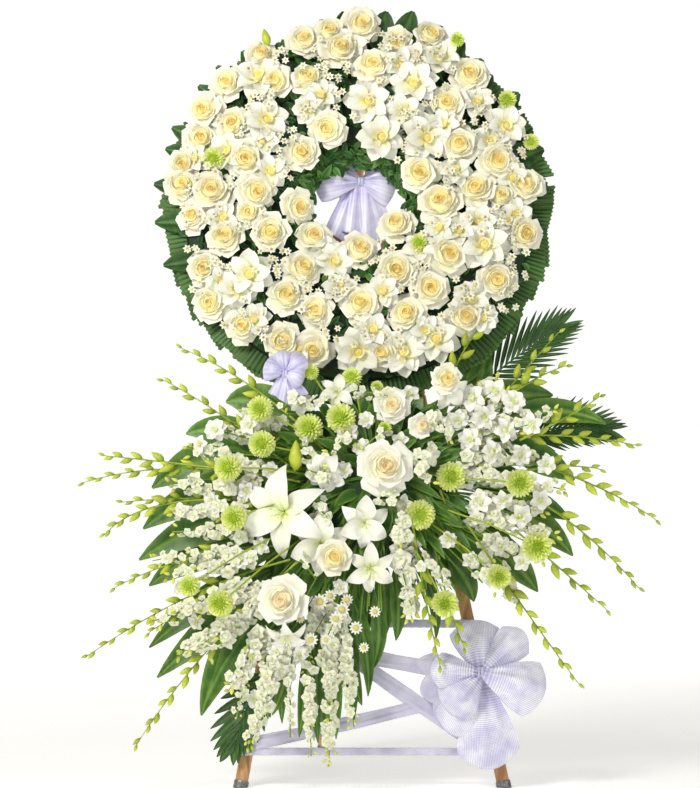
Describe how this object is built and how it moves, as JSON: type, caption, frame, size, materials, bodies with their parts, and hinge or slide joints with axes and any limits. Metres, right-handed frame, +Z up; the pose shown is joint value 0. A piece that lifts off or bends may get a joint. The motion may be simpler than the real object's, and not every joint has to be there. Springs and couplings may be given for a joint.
{
  "type": "funeral flower stand",
  "caption": "Leaning wooden tripod easel that carries a round wreath of cream roses over a fan-shaped spray of white and green flowers, with net and satin ribbon bows.",
  "frame": {"origin": "middle of the whole object's box, at floor level, under the three feet", "axes": "+Z up, the flowers face -Y, +X to the right seen from the front"},
  "size_m": [1.2354, 0.8434, 1.6383],
  "materials": {
    "wood": "satin",
    "dark_metal": "satin",
    "ribbon_wrap": "matte",
    "net_ribbon": "matte",
    "satin_ribbon": "satin",
    "straw_ring": "matte",
    "wet_foam": "matte",
    "palm_leaf": "satin",
    "green_leaf": "satin",
    "lime_bud": "matte",
    "ivory_petal": "matte",
    "white_petal": "matte"
  },
  "bodies": {
    "root": {"apex_bolt": "dark_metal", "bud_stems_left": "lime_bud", "bud_stems_low": "lime_bud", "bud_stems_right": "lime_bud", "front_foot_cap_left": "dark_metal", "front_foot_cap_right": "dark_metal", "front_greens": "green_leaf", "front_leg_left": "wood", "front_leg_right": "wood", "hole_bow": "satin_ribbon", "leaves_left": "green_leaf", "leaves_low": "green_leaf", "leaves_right": "green_leaf", "lily_drooping": "white_petal", "lily_large": "white_petal", "lily_low_left": "white_petal", "lily_low_middle": "white_petal", "lily_middle": "white_petal", "lower_crossbar": "ribbon_wrap", "net_band_cross": "net_ribbon", "net_band_falling": "net_ribbon", "net_band_rising": "net_ribbon", "net_bow": "net_ribbon", "palm_fringe_1": "palm_leaf", "palm_fringe_2": "palm_leaf", "palm_fringe_3": "palm_leaf", "palm_fringe_4": "palm_leaf", "palm_fringe_5": "palm_leaf", "palm_fringe_6": "palm_leaf", "palm_frond_low": "palm_leaf", "palm_frond_right": "palm_leaf", "palm_frond_top": "palm_leaf", "rear_foot_cap": "dark_metal", "rear_leg": "wood", "rose_centre": "ivory_petal", "rose_low": "ivory_petal", "rose_top_left": "ivory_petal", "rose_top_right": "ivory_petal", "side_bow": "satin_ribbon", "spray_crossbar": "wood", "spray_foam_block": "wet_foam", "star_bloom_left": "white_petal", "star_bloom_right": "white_petal", "star_bloom_top": "white_petal", "stock_left": "white_petal", "stock_low": "white_petal", "stock_right": "white_petal", "upper_crossbar": "ribbon_wrap", "wreath_flowers_1": "ivory_petal", "wreath_flowers_2": "ivory_petal", "wreath_flowers_3": "ivory_petal", "wreath_flowers_4": "ivory_petal", "wreath_flowers_5": "ivory_petal", "wreath_flowers_6": "ivory_petal", "wreath_foam_ring": "straw_ring"}
  },
  "joints": []
}
